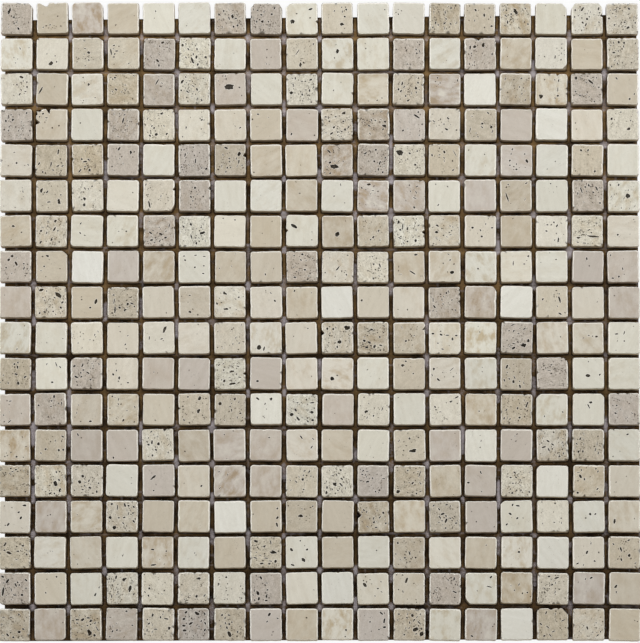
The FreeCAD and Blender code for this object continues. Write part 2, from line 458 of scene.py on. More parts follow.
# Large pits that stand out, by tile: each with its place in hundredths of a side from the west and
# the north, its length and width in tenths of a millimetre, and its turn in degrees
SIGNATURE_VUGS = {
    (0, 7): [(34, 38, 12, 9, -30), (57, 60, 10, 8, 0)],
    (0, 8): [(78, 20, 22, 10, 20), (34, 34, 9, 7, 0), (76, 48, 9, 8, 0)],
    (0, 9): [(64, 70, 22, 15, 0), (92, 70, 15, 6, 80), (42, 27, 13, 5, 60)],
    (0, 12): [(50, 66, 16, 8, 40)],
    (0, 13): [(88, 74, 12, 10, 0)],
    (0, 16): [(36, 20, 24, 10, 55), (13, 23, 14, 8, 80), (87, 20, 17, 8, 75), (36, 63, 15, 9, -50)],
    (1, 4): [(45, 72, 18, 11, -40), (60, 14, 16, 12, 20)],
    (1, 5): [(55, 62, 17, 11, 80), (84, 62, 14, 12, 40), (60, 86, 14, 9, 70)],
    (1, 8): [(36, 45, 32, 5, 55)],
    (1, 11): [(84, 42, 22, 5, -70)],
    (2, 0): [(66, 14, 22, 12, -20), (60, 68, 17, 7, 60)],
    (2, 1): [(14, 56, 41, 8, 62)],
    (2, 4): [(44, 26, 35, 7, 58)],
    (2, 6): [(47, 44, 46, 27, 4), (79, 46, 9, 8, 0)],
    (2, 8): [(50, 25, 10, 8, 0), (61, 25, 8, 7, 0), (78, 20, 16, 10, 20)],
    (2, 12): [(27, 14, 11, 8, 0), (90, 22, 15, 6, -80)],
    (2, 14): [(68, 17, 12, 7, 40), (17, 20, 16, 5, 75)],
    (2, 15): [(72, 22, 18, 6, 75), (70, 50, 26, 5, 88), (70, 71, 12, 10, 0)],
    (2, 16): [(62, 27, 34, 11, -42), (16, 15, 17, 14, 60), (88, 45, 11, 8, 30), (28, 71, 10, 9, 0)],
    (2, 17): [(30, 17, 14, 7, -50), (72, 82, 14, 9, 50), (87, 66, 13, 6, 70)],
    (3, 1): [(22, 16, 12, 10, 60), (11, 26, 11, 6, 75), (33, 29, 13, 6, 0), (73, 54, 9, 8, 90), (52, 61, 9, 7, 90),
             (84, 93, 11, 5, -15)],
    (3, 7): [(25, 17, 13, 8, 0)],
    (3, 8): [(16, 80, 14, 8, 70)],
    (3, 9): [(88, 39, 18, 9, -20), (46, 26, 10, 8, 0), (26, 40, 11, 8, 0), (86, 60, 15, 7, 55), (40, 60, 13, 10, 40),
             (32, 79, 20, 9, 35), (64, 74, 10, 8, 0)],
    (3, 12): [(16, 42, 17, 6, -35), (61, 32, 16, 9, -40), (57, 67, 16, 10, -30), (88, 69, 9, 8, 0)],
    (3, 13): [(73, 13, 15, 7, -50), (16, 68, 26, 5, 72), (87, 72, 19, 5, 70)],
    (4, 1): [(72, 22, 26, 9, 85), (50, 62, 22, 7, 75)],
    (4, 2): [(25, 85, 24, 7, 50)],
    (4, 5): [(54, 54, 25, 7, 88)],
    (4, 6): [(37, 13, 20, 9, -25), (78, 32, 24, 16, 65), (47, 46, 10, 7, 0), (47, 57, 10, 7, 0)],
    (4, 9): [(24, 22, 24, 8, -48), (27, 58, 15, 11, 20)],
    (4, 11): [(75, 23, 10, 8, 45)],
    (4, 12): [(83, 30, 38, 4, -58)],
    (4, 14): [(37, 15, 15, 7, 65), (33, 30, 13, 5, 80), (76, 30, 10, 8, 0), (29, 51, 12, 8, 40), (50, 62, 12, 5, 85),
              (50, 79, 11, 9, 0), (83, 53, 19, 12, -60)],
    (4, 16): [(29, 20, 14, 10, -45), (51, 19, 13, 8, 65), (73, 88, 12, 9, 0)],
    (5, 1): [(40, 70, 18, 7, 5)],
    (5, 4): [(20, 80, 38, 9, -78)],
    (5, 9): [(40, 52, 11, 7, 0), (60, 16, 18, 4, -75)],
    (5, 10): [(36, 14, 19, 12, 0)],
    (5, 14): [(26, 15, 10, 8, 45), (22, 55, 50, 7, -72), (83, 11, 15, 6, 30)],
    (5, 17): [(34, 15, 14, 8, 60)],
    (6, 1): [(18, 50, 12, 10, 0), (60, 44, 24, 9, 55), (51, 78, 16, 7, 80)],
    (6, 2): [(30, 28, 14, 6, 50), (29, 58, 12, 6, -50)],
    (6, 3): [(62, 52, 9, 8, 0), (38, 52, 10, 5, 0)],
    (6, 4): [(23, 57, 19, 9, -45), (55, 61, 20, 10, -30), (82, 35, 26, 5, 78)],
    (6, 8): [(24, 36, 35, 16, -30)],
    (6, 9): [(48, 60, 28, 18, 40)],
    (6, 13): [(25, 40, 13, 11, 0), (50, 48, 12, 7, -50), (54, 68, 12, 10, 0), (87, 40, 11, 8, 0)],
    (6, 15): [(36, 30, 10, 8, 0), (66, 33, 16, 7, 60), (33, 50, 12, 8, 0), (48, 30, 9, 7, 0)],
    (6, 16): [(68, 68, 56, 10, -4)],
    (6, 17): [(32, 62, 11, 9, 0)],
    (7, 0): [(28, 30, 17, 12, 50), (52, 42, 22, 12, -60), (20, 55, 11, 9, 0), (76, 42, 10, 8, 0)],
    (7, 5): [(52, 52, 11, 9, 0), (80, 48, 12, 6, 0), (78, 72, 12, 6, 0), (18, 16, 14, 6, 0), (55, 14, 15, 6, 0),
             (82, 18, 16, 5, 0), (21, 29, 11, 9, 0)],
    (7, 9): [(50, 55, 30, 7, 52)],
    (7, 10): [(72, 45, 22, 7, -70)],
    (7, 11): [(60, 68, 36, 7, -34), (72, 12, 17, 9, 0)],
    (7, 12): [(73, 70, 21, 17, 10), (68, 30, 12, 7, 30), (62, 12, 13, 5, -30)],
    (7, 14): [(88, 18, 13, 10, 30), (40, 40, 26, 5, 86), (75, 43, 13, 6, 0)],
    (7, 17): [(15, 87, 17, 7, 0)],
    (8, 1): [(20, 12, 24, 13, 20), (74, 28, 38, 20, -38), (15, 85, 12, 9, 60), (58, 80, 10, 8, 0)],
    (8, 2): [(78, 48, 28, 13, 68), (60, 67, 13, 9, 20)],
    (8, 3): [(20, 27, 11, 8, 0), (22, 46, 30, 5, 80), (25, 74, 36, 8, 88)],
    (8, 12): [(8, 43, 17, 6, 80), (18, 62, 19, 8, -50), (92, 45, 15, 6, 80)],
    (8, 15): [(75, 88, 19, 8, -30), (21, 42, 12, 8, 60)],
    (9, 3): [(66, 42, 10, 5, 60), (58, 70, 12, 7, 60)],
    (9, 4): [(69, 25, 34, 14, 62), (20, 52, 22, 5, 85)],
    (9, 7): [(28, 80, 25, 21, 80), (44, 84, 24, 7, 75)],
    (9, 9): [(56, 64, 22, 16, 20)],
    (9, 10): [(54, 78, 19, 11, 60)],
    (9, 12): [(13, 36, 16, 10, 0), (38, 39, 15, 10, -20), (58, 41, 20, 6, 0), (86, 42, 14, 8, 0), (28, 66, 12, 5, 0),
              (43, 85, 14, 5, -10)],
    (9, 14): [(12, 92, 17, 9, -30), (40, 84, 20, 11, 40), (92, 38, 10, 8, 0)],
    (9, 16): [(76, 46, 14, 10, 0), (52, 42, 11, 5, 0), (35, 50, 11, 5, 0)],
    (9, 17): [(26, 38, 20, 7, 8), (50, 34, 18, 6, 75), (50, 60, 10, 7, 0)],
    (10, 0): [(47, 20, 11, 9, 45), (53, 52, 15, 9, -30), (82, 60, 16, 8, 30)],
    (10, 1): [(66, 22, 26, 5, -72), (78, 30, 15, 6, -50), (36, 20, 12, 5, 70), (52, 78, 13, 9, 0)],
    (10, 2): [(40, 40, 11, 8, 0), (18, 62, 20, 9, -30), (63, 70, 11, 9, 0), (12, 28, 15, 10, 40)],
    (10, 3): [(68, 80, 11, 8, 0), (38, 75, 8, 6, 0)],
    (10, 6): [(58, 82, 38, 11, 8), (30, 92, 36, 7, 2)],
    (10, 7): [(24, 76, 14, 11, 0)],
    (10, 12): [(30, 71, 20, 9, -42), (10, 56, 16, 5, -70), (72, 38, 26, 4, 40)],
    (10, 16): [(48, 58, 24, 15, 0), (86, 55, 12, 8, 45)],
    (11, 0): [(36, 24, 16, 5, 10), (34, 88, 24, 5, 40), (15, 68, 10, 6, -30)],
    (11, 1): [(55, 24, 14, 6, 75), (52, 42, 10, 6, 0)],
    (11, 2): [(62, 87, 15, 9, 0)],
    (11, 3): [(36, 18, 16, 5, 82), (36, 34, 12, 5, 80), (52, 84, 17, 9, 60), (87, 42, 12, 5, -45)],
    (11, 5): [(67, 17, 22, 14, 60)],
    (11, 6): [(18, 32, 18, 16, 70)],
    (11, 7): [(24, 18, 20, 9, -30), (66, 20, 14, 14, 0)],
    (11, 8): [(18, 66, 19, 16, 0), (82, 58, 18, 13, -20), (82, 28, 23, 7, 8)],
    (11, 12): [(86, 13, 24, 7, 28), (68, 26, 17, 9, 30), (33, 58, 16, 4, 0)],
    (11, 14): [(60, 75, 13, 11, 0), (18, 52, 12, 7, 30)],
    (12, 2): [(22, 17, 18, 7, -70)],
    (12, 4): [(32, 42, 20, 9, 82), (30, 9, 13, 7, 40)],
    (12, 7): [(61, 27, 10, 8, 0)],
    (12, 8): [(48, 26, 24, 7, -55), (85, 32, 16, 5, -40), (80, 58, 18, 6, 50)],
    (12, 15): [(22, 57, 22, 8, 20), (36, 38, 18, 9, -35), (50, 49, 16, 8, -30), (9, 79, 15, 12, 0),
               (21, 90, 14, 7, -40), (72, 87, 12, 8, -40), (81, 65, 8, 6, 0)],
    (12, 16): [(33, 70, 11, 9, 0), (73, 65, 22, 5, 75)],
    (12, 17): [(60, 17, 13, 8, 20)],
    (13, 4): [(33, 41, 36, 9, 40), (10, 54, 13, 10, 0), (34, 82, 10, 8, 0)],
    (13, 5): [(74, 66, 13, 9, 40)],
    (13, 8): [(32, 52, 16, 6, -45), (56, 76, 10, 7, 0)],
    (13, 10): [(33, 53, 19, 9, 12), (48, 42, 10, 8, 0), (16, 30, 13, 7, -10), (84, 43, 16, 5, 0)],
    (13, 11): [(60, 57, 17, 9, 50), (82, 28, 32, 5, 70), (84, 57, 22, 5, -55)],
    (13, 12): [(22, 90, 30, 8, 30)],
    (13, 13): [(50, 25, 16, 7, -60), (12, 58, 14, 10, 0), (54, 85, 10, 6, 60)],
    (13, 14): [(30, 40, 12, 8, 0), (38, 58, 10, 7, 0)],
    (13, 16): [(23, 36, 22, 12, -60), (15, 88, 13, 11, 0), (77, 75, 14, 7, 50), (78, 20, 12, 6, 60)],
    (14, 0): [(80, 13, 19, 10, 0), (62, 35, 13, 10, 20), (69, 53, 16, 11, 70), (30, 74, 20, 9, 55)],
    (14, 3): [(35, 22, 26, 6, 88), (70, 17, 12, 8, -40), (86, 20, 13, 9, -30), (70, 42, 18, 5, 75),
              (40, 55, 11, 8, 0), (57, 54, 14, 8, 20), (87, 66, 16, 8, -50)],
    (14, 7): [(86, 56, 18, 10, 50), (84, 78, 24, 10, -72), (86, 27, 12, 8, 60)],
    (14, 10): [(50, 55, 16, 6, 60), (70, 52, 18, 6, 50), (57, 84, 12, 8, 0)],
    (14, 12): [(53, 64, 26, 11, 65), (43, 42, 19, 10, 20), (32, 27, 16, 7, -50), (56, 13, 16, 7, 20),
               (15, 15, 14, 6, 40), (85, 72, 12, 8, 0)],
    (14, 14): [(55, 17, 20, 8, -10), (30, 42, 17, 10, -30), (52, 56, 13, 9, 30), (18, 75, 16, 8, 40)],
    (14, 16): [(53, 43, 14, 13, 0), (70, 43, 12, 8, 40), (39, 55, 9, 8, 0), (8, 42, 20, 8, -60)],
    (14, 17): [(19, 67, 24, 11, 80)],
    (15, 0): [(20, 24, 24, 9, 60), (18, 42, 12, 8, 0)],
    (15, 4): [(34, 41, 16, 9, -10), (37, 90, 28, 8, 8)],
    (15, 7): [(19, 15, 22, 11, -10), (46, 31, 13, 10, 30), (65, 17, 22, 6, -70), (91, 35, 11, 9, 0),
              (38, 85, 20, 9, 10)],
    (15, 8): [(18, 42, 19, 13, -60), (55, 74, 24, 15, -48), (67, 42, 13, 10, 20), (46, 14, 10, 7, 70),
              (21, 90, 20, 8, -20)],
    (15, 16): [(45, 50, 22, 10, 60), (15, 85, 16, 7, 30), (58, 22, 14, 5, 80)],
    (15, 17): [(63, 12, 16, 7, 20), (15, 25, 12, 7, -40)],
    (16, 0): [(27, 27, 28, 10, 50), (13, 60, 44, 11, 82), (86, 25, 16, 9, -40), (86, 50, 13, 6, 0)],
    (16, 3): [(74, 52, 32, 14, 78)],
    (16, 5): [(66, 20, 19, 12, 0)],
    (16, 7): [(52, 33, 16, 4, 0), (54, 55, 12, 7, 60), (50, 88, 16, 8, 0)],
    (16, 10): [(24, 38, 24, 14, -55), (65, 50, 11, 8, 0)],
    (16, 11): [(42, 24, 28, 12, 72)],
    (16, 12): [(80, 60, 24, 7, -25)],
    (16, 13): [(80, 15, 16, 9, 50), (75, 45, 26, 6, -15)],
    (16, 14): [(57, 40, 14, 6, 60), (43, 58, 11, 6, 60)],
    (16, 16): [(56, 18, 16, 8, 20), (38, 22, 12, 6, 60)],
    (16, 17): [(20, 45, 20, 11, 50), (22, 62, 10, 8, 0)],
    (17, 0): [(66, 73, 18, 12, 0), (48, 90, 12, 9, 0), (16, 28, 18, 4, 0)],
    (17, 2): [(85, 65, 30, 5, -62), (55, 55, 11, 7, 0)],
    (17, 3): [(64, 10, 12, 9, 0), (84, 54, 10, 8, 0), (22, 74, 16, 7, 60)],
    (17, 4): [(75, 34, 22, 7, -10), (20, 50, 15, 8, 30), (42, 67, 18, 6, 0)],
    (17, 5): [(27, 13, 17, 10, 40), (62, 17, 28, 14, -30), (20, 34, 15, 12, 30), (42, 48, 24, 10, 28),
              (20, 55, 16, 11, 0), (22, 70, 18, 12, 0), (87, 48, 17, 8, -60), (86, 69, 15, 8, 60)],
    (17, 7): [(61, 20, 20, 12, 58), (54, 42, 12, 6, 50), (87, 32, 14, 6, -30)],
    (17, 10): [(75, 16, 19, 9, -50), (84, 40, 24, 9, 78), (85, 60, 16, 10, 10), (39, 43, 10, 8, 0)],
    (17, 11): [(80, 45, 24, 6, -50), (16, 19, 12, 7, 0)],
    (17, 13): [(22, 88, 15, 8, -20)],
    (17, 15): [(34, 60, 22, 5, -40), (52, 74, 20, 5, 20), (42, 86, 20, 6, -50)],
    (17, 16): [(45, 62, 18, 9, -70), (78, 85, 14, 7, 40)],
}


def linear(display):
    """The linear light of an 8-bit display colour."""
    share = np.array(display, float) / 255
    return np.where(share <= 0.04045, share / 12.92, ((share + 0.055) / 1.055) ** 2.4)


class Look:
    """What a tile's stone is like: its tone, how porous and how clouded it is, and which way its bands run."""

    def __init__(self, tile):
        draw = tile.draw
        place = tile.place
        tones, shares = zip(*COMMON_TONES)
        tone = np.array(tones[draw.choice(len(tones), p=np.array(shares) / sum(shares))], float)
        for places, own_tone in ((WHITE_TILES, WHITE), (PALE_TILES, PALE), (TAN_TILES, TAN), (ROSY_TILES, ROSY)):
            if place in places:
                tone = np.array(own_tone, float)
        tone += draw.normal(0, TONE_SPREAD) + draw.normal(0, WARMTH_SPREAD) * WARM
        self.tone = linear(np.clip(tone, 0, BRIGHTEST))
        self.porosity = float(np.clip(draw.gamma(0.85, 0.56), 0.02, 1.2))
        self.clouds = float(np.clip(draw.gamma(1.6, 0.20), 0, 0.75))
        self.band_turn = draw.normal(math.pi / 2, 0.25) if draw.random() < 0.5 else draw.uniform(0, math.pi)
        if place in PITTED_TILES:
            self.porosity = draw.uniform(*PITTED_POROSITY)
        elif place in SMOOTH_TILES | WHITE_TILES | PALE_TILES:
            self.porosity = SMOOTH_POROSITY
        if place in CLOUDED_TILES:
            self.clouds = CLOUDED_CLOUDS
        if place in WHITE_TILES:
            self.clouds = WHITE_CLOUDS
        self.origin = draw.uniform(-400, 400, 3)


# Pits

def circle(angles):
    """Points on the unit circle."""
    return np.column_stack([np.cos(angles), np.sin(angles)])


class Pit:
    """An open pore in a tile's face: a ragged oval about its middle, with the loops that sink it."""

    def __init__(self, draw, middle, length, width, turn, ragged):
        self.middle = np.array(middle)
        self.half = np.array([length, width]) / 2
        self.axes = turned_axes(turn)
        self.depth = float(np.clip(width * draw.uniform(*DEPTH_SHARE), *DEPTH_LIMITS))
        self.rim_width = RIM_WIDTH if length > RIMMED_LENGTH else 0.0
        count = int(np.clip(round(5 + 2.4 * length), 6, 15))
        self.angles = (np.arange(count) + draw.uniform(-0.25, 0.25, count)) / count * 2 * math.pi
        self.swell = 1 + ragged * draw.uniform(-0.5, 0.5, count)
        self.rim = circle(self.angles) * self.swell[:, None]
        self.floor = self.rim * draw.uniform(*FLOOR_SHARE, count)[:, None]
        self.has_throat = length > THROAT_LENGTH

    def swell_at(self, angles):
        """How far the rim reaches in each direction, on the unit circle."""
        return np.interp(angles, self.angles, self.swell, period=2 * math.pi)

    def in_plan(self, shape, grown=0.0):
        """Points of a shape on the unit circle, laid on the pit's own oval."""
        return self.middle + (shape * (self.half + grown)) @ self.axes.T

    def holds(self, points):
        """Whether any point lies in the pit's outskirts or their room."""
        unit = (points - self.middle) @ self.axes / (self.half + self.rim_width + PIT_ROOM)
        reach = self.swell_at(np.arctan2(unit[:, 1], unit[:, 0]))
        return bool(np.any(np.linalg.norm(unit, axis=1) < reach))

    def outskirts(self):
        """The loop about all of the pit."""
        return self.in_plan(self.rim, self.rim_width)

    def clashes(self, other):
        """Whether this pit and another leave too little room, by points along both outskirts."""
        mine = self.outskirts()
        theirs = other.outskirts()
        mine = np.concatenate([mine, (mine + np.roll(mine, 1, axis=0)) / 2])
        theirs = np.concatenate([theirs, (theirs + np.roll(theirs, 1, axis=0)) / 2])
        return self.holds(theirs) or other.holds(mine)

    def loops(self):
        """The closed loops that make the pit, each as its points, how far down, how much dirt and painted shade, and
        how worn.
        """
        made = []
        if self.rim_width:
            made.append((self.outskirts(), 0.0, 0.0, 0.0))
        made.append((self.in_plan(self.rim), 0.0, 0.0, RIM_WEAR if self.rim_width else 0.0))
        if self.has_throat:
            made.append((self.in_plan(self.rim * THROAT_SHARE), self.depth / 2, THROAT_DIRT_AND_SHADE, 0.0))
        made.append((self.in_plan(self.floor), self.depth, 1.0, 0.0))
        return made


def nests_of(draw, look):
    """The middles of a tile's nests of pits. They are long in the direction of the stone's bands."""
    return draw.uniform(-NEST_REACH, NEST_REACH, (1 + draw.poisson(1.0 + 2.2 * look.porosity), 2))


def nest_places(draw, look, nests, count):
    """Places on a tile's face, most of them in nests."""
    along, across = turned_axes(look.band_turn).T
    places = []
    for _ in range(count):
        if draw.random() < NESTED_SHARE:
            nest = nests[draw.integers(len(nests))]
            spot = nest + along * draw.normal(0, NEST_LENGTH) + across * draw.normal(0, NEST_WIDTH)
        else:
            spot = draw.uniform(-PIT_REACH, PIT_REACH, 2)
        places.append(spot)
    return places


def wanted_pits(tile, look):
    """The pits that a tile would have: middle, length, width, turn and how ragged each is."""
    draw = tile.draw
    wanted = []
    if tile.place in WHITE_TILES:
        return wanted
    for x, y, length, width, degrees in SIGNATURE_VUGS.get(tile.place, []):
        middle = ((x / 100 - 0.5) * TILE_SIDE, (0.5 - y / 100) * TILE_SIDE)
        wanted.append((middle, length / 10, width / 10, math.radians(degrees), draw.uniform(*SIGNATURE_RAGGED)))
    counts = [draw.poisson(least + growth * max(look.porosity - start, 0))
              for least, growth, start, _, _ in PIT_KINDS]
    nests = nests_of(draw, look)
    for count, (_, _, _, mean_length, slenderness) in zip(counts, PIT_KINDS):
        for middle in nest_places(draw, look, nests, count):
            length = mean_length * draw.lognormal(0, PIT_LENGTH_SPREAD)
            width = length / (1 + slenderness * draw.gamma(1.2, 0.7))
            turn = look.band_turn + draw.normal(0, PIT_TURN_SPREAD)
            wanted.append((middle, length, max(width, LEAST_WIDTH), turn, draw.uniform(*RAGGED)))
            if mean_length > COMPANY_LENGTH:
                for _ in range(draw.poisson(COMPANY_MEAN)):
                    way = draw.uniform(0, 2 * math.pi)
                    place = middle + draw.uniform(*COMPANY_PLACE) * length * np.array([math.cos(way), math.sin(way)])
                    size = draw.uniform(*COMPANY_SIZE)
                    width = max(size * draw.uniform(*COMPANY_SHAPE), COMPANY_LEAST_WIDTH)
                    turned = turn + draw.normal(0, PIT_TURN_SPREAD)
                    wanted.append((place, size, width, turned, draw.uniform(*COMPANY_RAGGED)))
    return wanted


def pits_of(tile, look, edge_reach):
    """The wanted pits that fit. edge_reach gives how far the face reaches in the direction of each point."""
    pits = []
    for middle, length, width, turn, ragged in wanted_pits(tile, look):
        pit = Pit(tile.draw, middle, max(length, width), width, turn, ragged)
        rim = pit.outskirts()
        if np.any(np.linalg.norm(rim, axis=1) > edge_reach(rim) - PIT_ROOM):
            continue
        if any(pit.clashes(other) for other in pits):
            continue
        pits.append(pit)
    return pits


# From tiles to meshes

# How many numbers each value of a point has
POINT_WIDTHS = {"stone": 3, "tone": 3, "nature": 3, "net": 3, "depth": 1, "bare": 1}


def added(name, data):
    """A new object in the scene."""
    made = bpy.data.objects.new(name, data)
    bpy.context.scene.collection.objects.link(made)
    return made


class MeshDraft:
    """Points, faces and the values that the materials read, gathered before a mesh is made."""

    def __init__(self):
        self.points = []
        self.faces = []
        self.smooth = []
        self.point_values = {}
        self.corner_values = {}
        self.count = 0

    def add_points(self, points, **values):
        """Adds points and gives the first one's number. A value is one for all or one per point."""
        first = self.count
        self.points.append(points)
        self.count += len(points)
        for name, value in values.items():
            rows = np.reshape(value, (-1, POINT_WIDTHS[name]))
            self.point_values.setdefault(name, []).append(np.broadcast_to(rows, (len(points), rows.shape[1])))
        return first

    def add_faces(self, faces, smooth, **values):
        """Adds faces as tuples of point numbers, and for each value one number per corner."""
        self.faces.extend(faces)
        self.smooth.extend([smooth] * len(faces))
        for name, value in values.items():
            self.corner_values.setdefault(name, []).append(np.ravel(value))

    def make(self, name, material):
        """The finished object, in metres."""
        mesh = bpy.data.meshes.new(name)
        mesh.from_pydata((np.concatenate(self.points) * MM).tolist(), [], self.faces)
        mesh.polygons.foreach_set("use_smooth", self.smooth)
        for value_name, parts in self.point_values.items():
            value = np.concatenate(parts)
            kind = "FLOAT_VECTOR" if value.shape[1] == 3 else "FLOAT"
            field = "vector" if value.shape[1] == 3 else "value"
            mesh.attributes.new(value_name, kind, "POINT").data.foreach_set(field, value.ravel())
        for value_name, parts in self.corner_values.items():
            mesh.attributes.new(value_name, "FLOAT", "CORNER").data.foreach_set("value", np.concatenate(parts))
        mesh.materials.append(material)
        mesh.update()
        return added(name, mesh)


def in_notch(corners, outline):
    """Whether a triangle of three outline points lies outside the outline, across a notch in it."""
    if max(corners) >= len(outline):
        return False
    a, b, c = (outline[i] for i in sorted(corners))
    return (b[0] - a[0]) * (c[1] - a[1]) - (b[1] - a[1]) * (c[0] - a[0]) <= 0


def filled(loops):
    """The triangles that fill an outline and the loops in it, as numbers of the loops' points."""
    edges = []
    first = 0
    for loop in loops:
        last = first + len(loop) - 1
        edges.extend((i, i + 1) for i in range(first, last))
        edges.append((last, first))
        first = last + 1
    flat = [Vector(point) for loop in loops for point in loop]
    points, _, triangles, sources, _, _ = delaunay_2d_cdt(flat, edges, [], 1, JOINING_GAP, True)
    if len(points) != len(flat):
        return None
    corners = [tuple(sources[i][0] for i in triangle) for triangle in triangles]
    return [three for three in corners if not in_notch(three, loops[0])]


def face_with(edge_loop, pits):
    """A face's edge and its pits' loops, and the triangles that fill them. Loops that cross have none."""
    loops = [edge_loop] + [loop for pit in pits for loop in pit.loops()]
    return loops, filled([loop[0] for loop in loops])


def sound_pits(edge_loop, pits):
    """The pits whose loops cross neither each other nor the edge."""
    kept = []
    for pit in pits:
        if face_with(edge_loop, kept + [pit])[1] is not None:
            kept.append(pit)
    return kept


def bands_between(firsts, length):
    """The quads between rings of points, all of one length, which start at the given numbers."""
    quads = []
    for upper, lower in zip(firsts, firsts[1:]):
        for i in range(length):
            j = (i + 1) % length
            quads.append((upper + i, lower + i, lower + j, upper + j))
    return quads


def rings_of(tile, look, stops, directions):
    """The rings round a tile from the face down, each as its points, how far down and how much dirt and painted
    shade.
    """
    draw = tile.draw
    hollows = arris_chips(draw, look.porosity)
    for side, share, width, deep, down in EDGE_BITES.get(tile.place, []):
        hollows.append((along_outline(side, share), width, deep, down, BITE_DIRT_AND_SHADE))
    levels = []
    for degrees in ARRIS_ANGLES:
        angle = math.radians(degrees)
        levels.append((ARRIS_DROP * (1 - math.cos(angle)), ARRIS_DROP * math.sin(angle)))
    levels += [(depth, depth) for depth in (*SIDE_DEPTHS, tile.top - tile.foot)]
    shared_waver = waver(draw, stops, *EDGE_WAVER)
    rings = []
    for fall, section_depth in levels:
        reach = tile.radii(directions, section_depth) + shared_waver + waver(draw, stops, *RING_WAVER)
        dirt = np.zeros_like(reach)
        for centre, width, deep, down, grime_and_shade in hollows:
            hollow = dent(stops, centre, width) * np.clip(1 - fall / down, 0, 1)
            reach = reach - deep * hollow
            dirt = np.maximum(dirt, grime_and_shade * hollow)
        rings.append((directions * reach[:, None], fall, dirt))
    return rings


def pitted_face(tile, look, edge):
    """The loops of a tile's face, its edge first, and the triangles that fill them."""
    edge_angles = np.arctan2(edge[:, 1], edge[:, 0])
    edge_lengths = np.linalg.norm(edge, axis=1)

    def edge_reach(points):
        return np.interp(np.arctan2(points[:, 1], points[:, 0]), edge_angles, edge_lengths, period=2 * math.pi)

    edge_loop = (edge, 0.0, 0.0, 0.0)
    pits = pits_of(tile, look, edge_reach)
    loops, triangles = face_with(edge_loop, pits)
    if triangles is None:
        loops, triangles = face_with(edge_loop, sound_pits(edge_loop, pits))
    return loops, triangles


def add_tile(draft, tile):
    """Adds one tumbled tile: a pitted face, rounded arrises, wavering sides and a foot."""
    look = Look(tile)
    stops = outline_stops(EDGE_BITES.get(tile.place, []))
    directions = stop_directions(stops)
    rings = rings_of(tile, look, stops, directions)
    loops, triangles = pitted_face(tile, look, rings[0][0])

    outlines = [(points, fall) for points, fall, _, _ in loops] + [(points, fall) for points, fall, _ in rings[1:]]
    plan = np.concatenate([points for points, _ in outlines])
    fall = np.concatenate([np.full(len(points), down) for points, down in outlines])
    first = draft.add_points(
        np.column_stack([tile.placed(plan), tile.top - fall]),
        stone=np.column_stack([plan @ turned_axes(look.band_turn), -fall]) + look.origin,
        tone=look.tone,
        nature=(look.porosity, look.clouds, tile.draw.random()),
        depth=fall,
    )

    def numbered(faces):
        return [tuple(first + i for i in corners) for corners in faces]

    # The face: dirt and painted shade only where it sinks, so that they end sharply at the pits' rims
    loop_dirt, loop_wear = (np.concatenate([np.full(len(loop[0]), loop[k]) for loop in loops]) for k in (2, 3))
    flat = [corners for corners in triangles if not any(fall[i] for i in corners)]
    sunk = [corners for corners in triangles if any(fall[i] for i in corners)]
    draft.add_faces(numbered(flat), False, wear=loop_wear[np.array(flat)], dirt=np.zeros(3 * len(flat)))
    sunk_dirt = np.maximum(loop_dirt[np.array(sunk, int)], RIM_DIRT_AND_SHADE) if sunk else []
    draft.add_faces(numbered(sunk), True, wear=np.zeros(3 * len(sunk)), dirt=sunk_dirt)

    # The arrises, sides and foot
    length = len(stops)
    firsts = [0] + [len(loop_dirt) + length * k for k in range(len(rings) - 1)]
    wear = np.zeros(len(plan))
    dirt = np.zeros(len(plan))
    faces_south = np.interp(-directions[:, 1], SOUTH_FACING, (0, 1))
    # Each ring's wear also carries a painted highlight on the upper arris, mostly taken away on sides that face
    # south
    for start, worn, (_, _, grime_and_shade) in zip(firsts, RING_WEAR_AND_HIGHLIGHT, rings):
        wear[start:start + length] = worn * (1 - SOUTH_HIGHLIGHT_LOSS * faces_south)
        dirt[start:start + length] = grime_and_shade
    quads = bands_between(firsts, length)
    draft.add_faces(numbered(quads), True, wear=wear[np.array(quads)], dirt=dirt[np.array(quads)])
    foot = [range(firsts[-1] + length - 1, firsts[-1] - 1, -1)]
    draft.add_faces(numbered(foot), False, wear=np.zeros(length), dirt=np.zeros(length))


# The glue film

def joint_edges(tiles, axis):
    """For each joint across an axis, where the tiles before it end and the tiles after it begin.

    Each of the two sides is given as places along the joint and the edge's place at each of them.
    """
    count = 1 + max(tile.place[1 - axis] for tile in tiles)
    lines = [[tile for tile in tiles if tile.place[1 - axis] == k] for k in range(count)]
    lines.sort(key=lambda line: line[0].middle[axis])
    joints = []
    for line_before, line_after in zip(lines, lines[1:]):
        sides = []
        for line, way in ((line_before, 1.0), (line_after, -1.0)):
            knots = []
            for tile in line:
                direction = np.zeros(2)
                direction[axis] = way
                reach = tile.radii(direction[None, :], tile.top - tile.foot)[0]
                for along in (-READING_SHARE, READING_SHARE):
                    corner = direction * reach
                    corner[1 - axis] = along * TILE_SIDE
                    knots.append(tile.placed(corner))
            knots = np.array(sorted(knots, key=lambda knot: knot[1 - axis]))
            sides.append((knots[:, 1 - axis], knots[:, axis]))
        joints.append(sides)
    return joints


